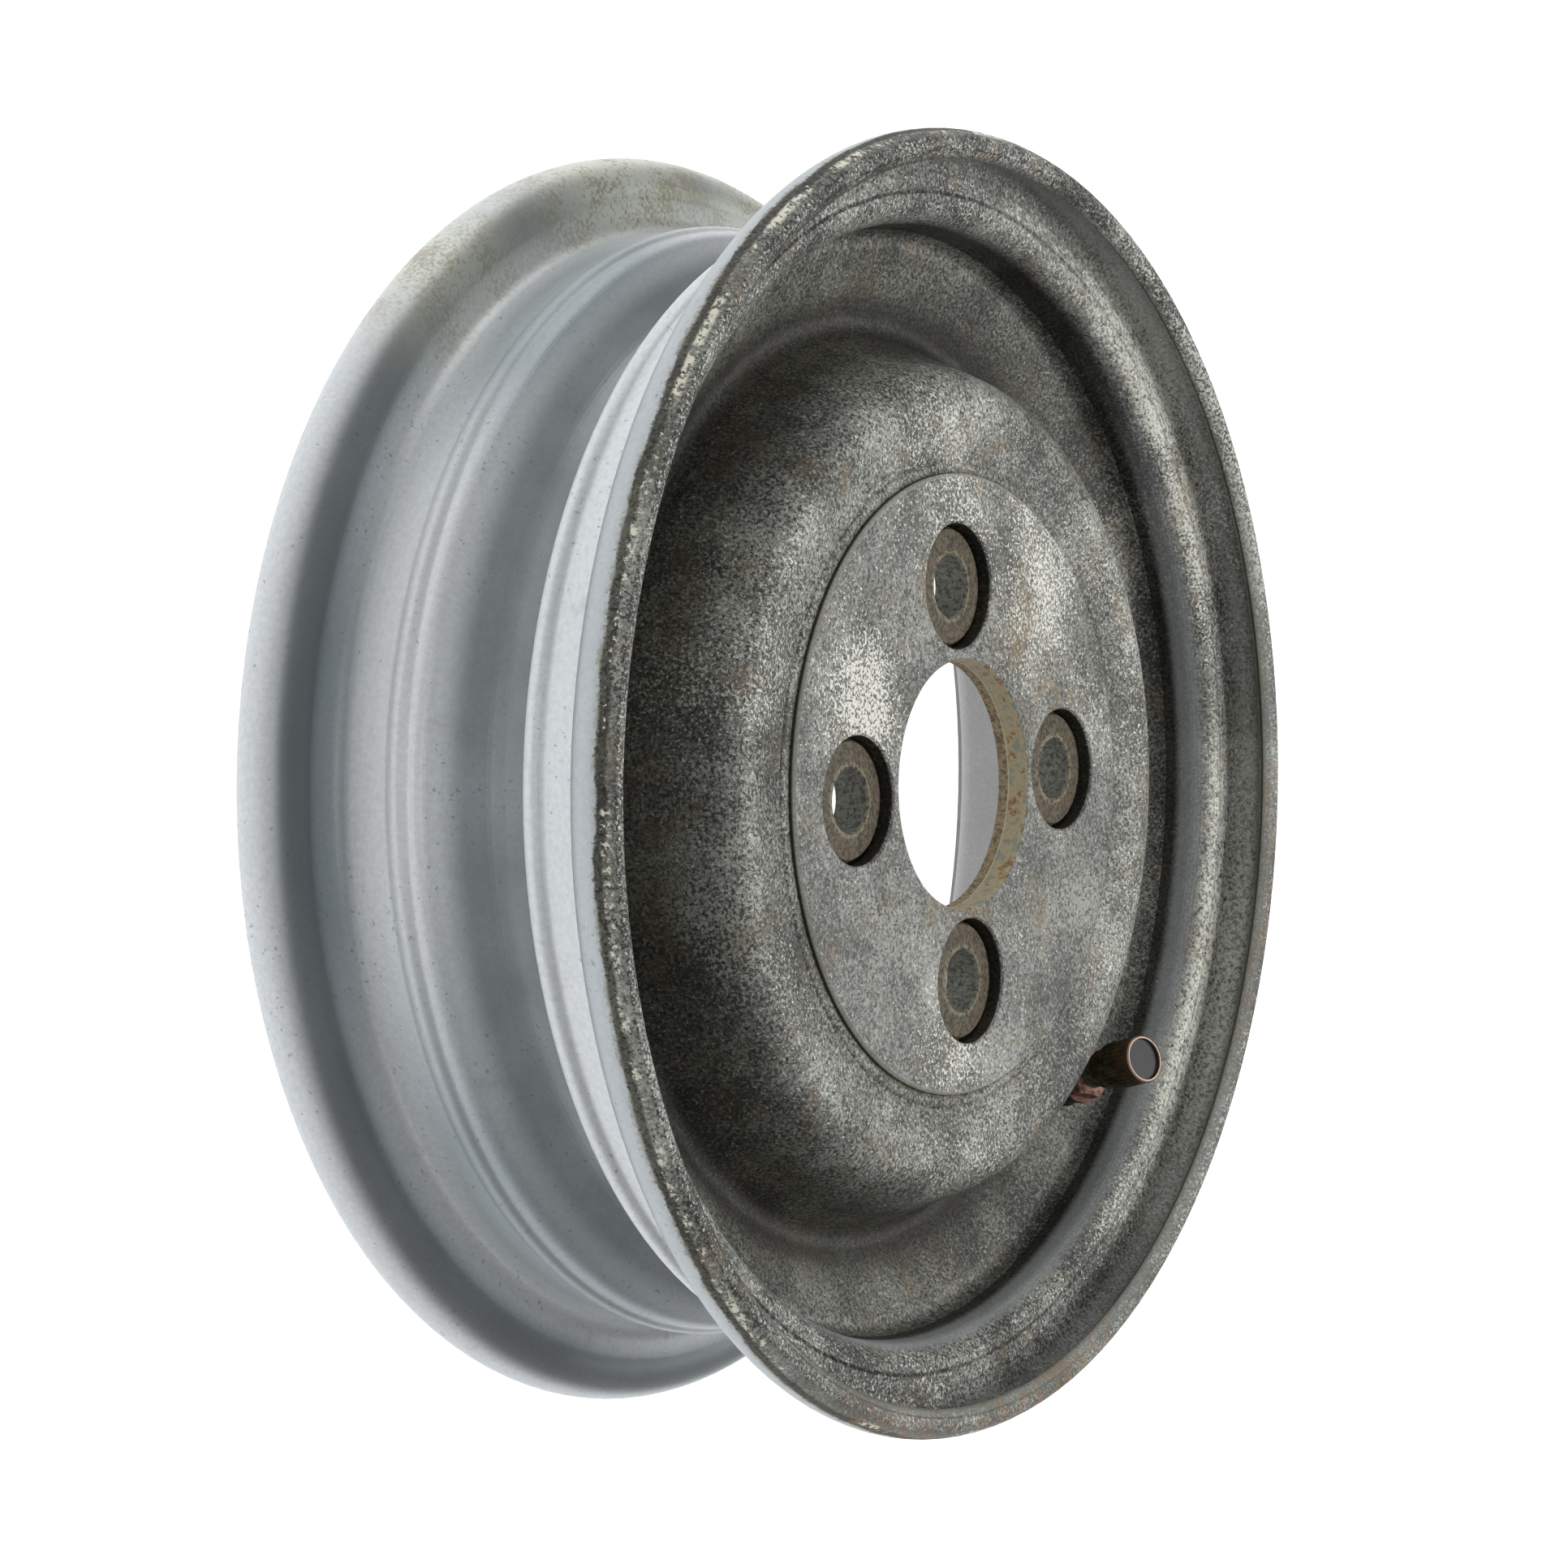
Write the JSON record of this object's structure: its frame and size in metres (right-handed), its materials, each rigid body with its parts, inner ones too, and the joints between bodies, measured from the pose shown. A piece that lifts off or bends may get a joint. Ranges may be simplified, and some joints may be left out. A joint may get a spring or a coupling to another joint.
{
  "type": "scooter wheel rim",
  "caption": "Pressed steel scooter rim with a drop centre barrel, domed disc, stud mounting plate and clamp-in tyre valve.",
  "frame": {"origin": "on the wheel axis, level with the rear lip that the rim lies on", "axes": "+Z along the wheel axis towards the outer face, +X towards the tyre valve, studs on the diagonals"},
  "size_m": [0.288, 0.288, 0.0947],
  "materials": {
    "zinc_barrel": "hot dip galvanised steel, smooth grey on the tyre side, coarse and darker on the face",
    "zinc_disc": "weathered galvanised steel with coarse light and dark speckle",
    "zinc_plate": "weathered galvanised steel, lighter than the disc",
    "stem_brass": "dark weathered brass",
    "core_brass": "plain brass",
    "cap_brass": "dark weathered brass with a worn bright edge",
    "seal_rubber": "black rubber",
    "washer_steel": "rusted steel",
    "nut_steel": "rusted steel",
    "insert_plastic": "plain dark plastic"
  },
  "bodies": {
    "root": {"rim_barrel": "zinc_barrel", "wheel_disc": "zinc_disc", "weld_seam": "zinc_disc", "mounting_plate": "zinc_plate", "valve_stem": "stem_brass", "valve_core": "core_brass", "valve_cap": "cap_brass", "valve_inner_seal": "seal_rubber", "valve_outer_seal": "seal_rubber", "cap_seal": "seal_rubber", "valve_washer": "washer_steel", "valve_nut": "nut_steel", "cap_insert": "insert_plastic"}
  },
  "joints": []
}
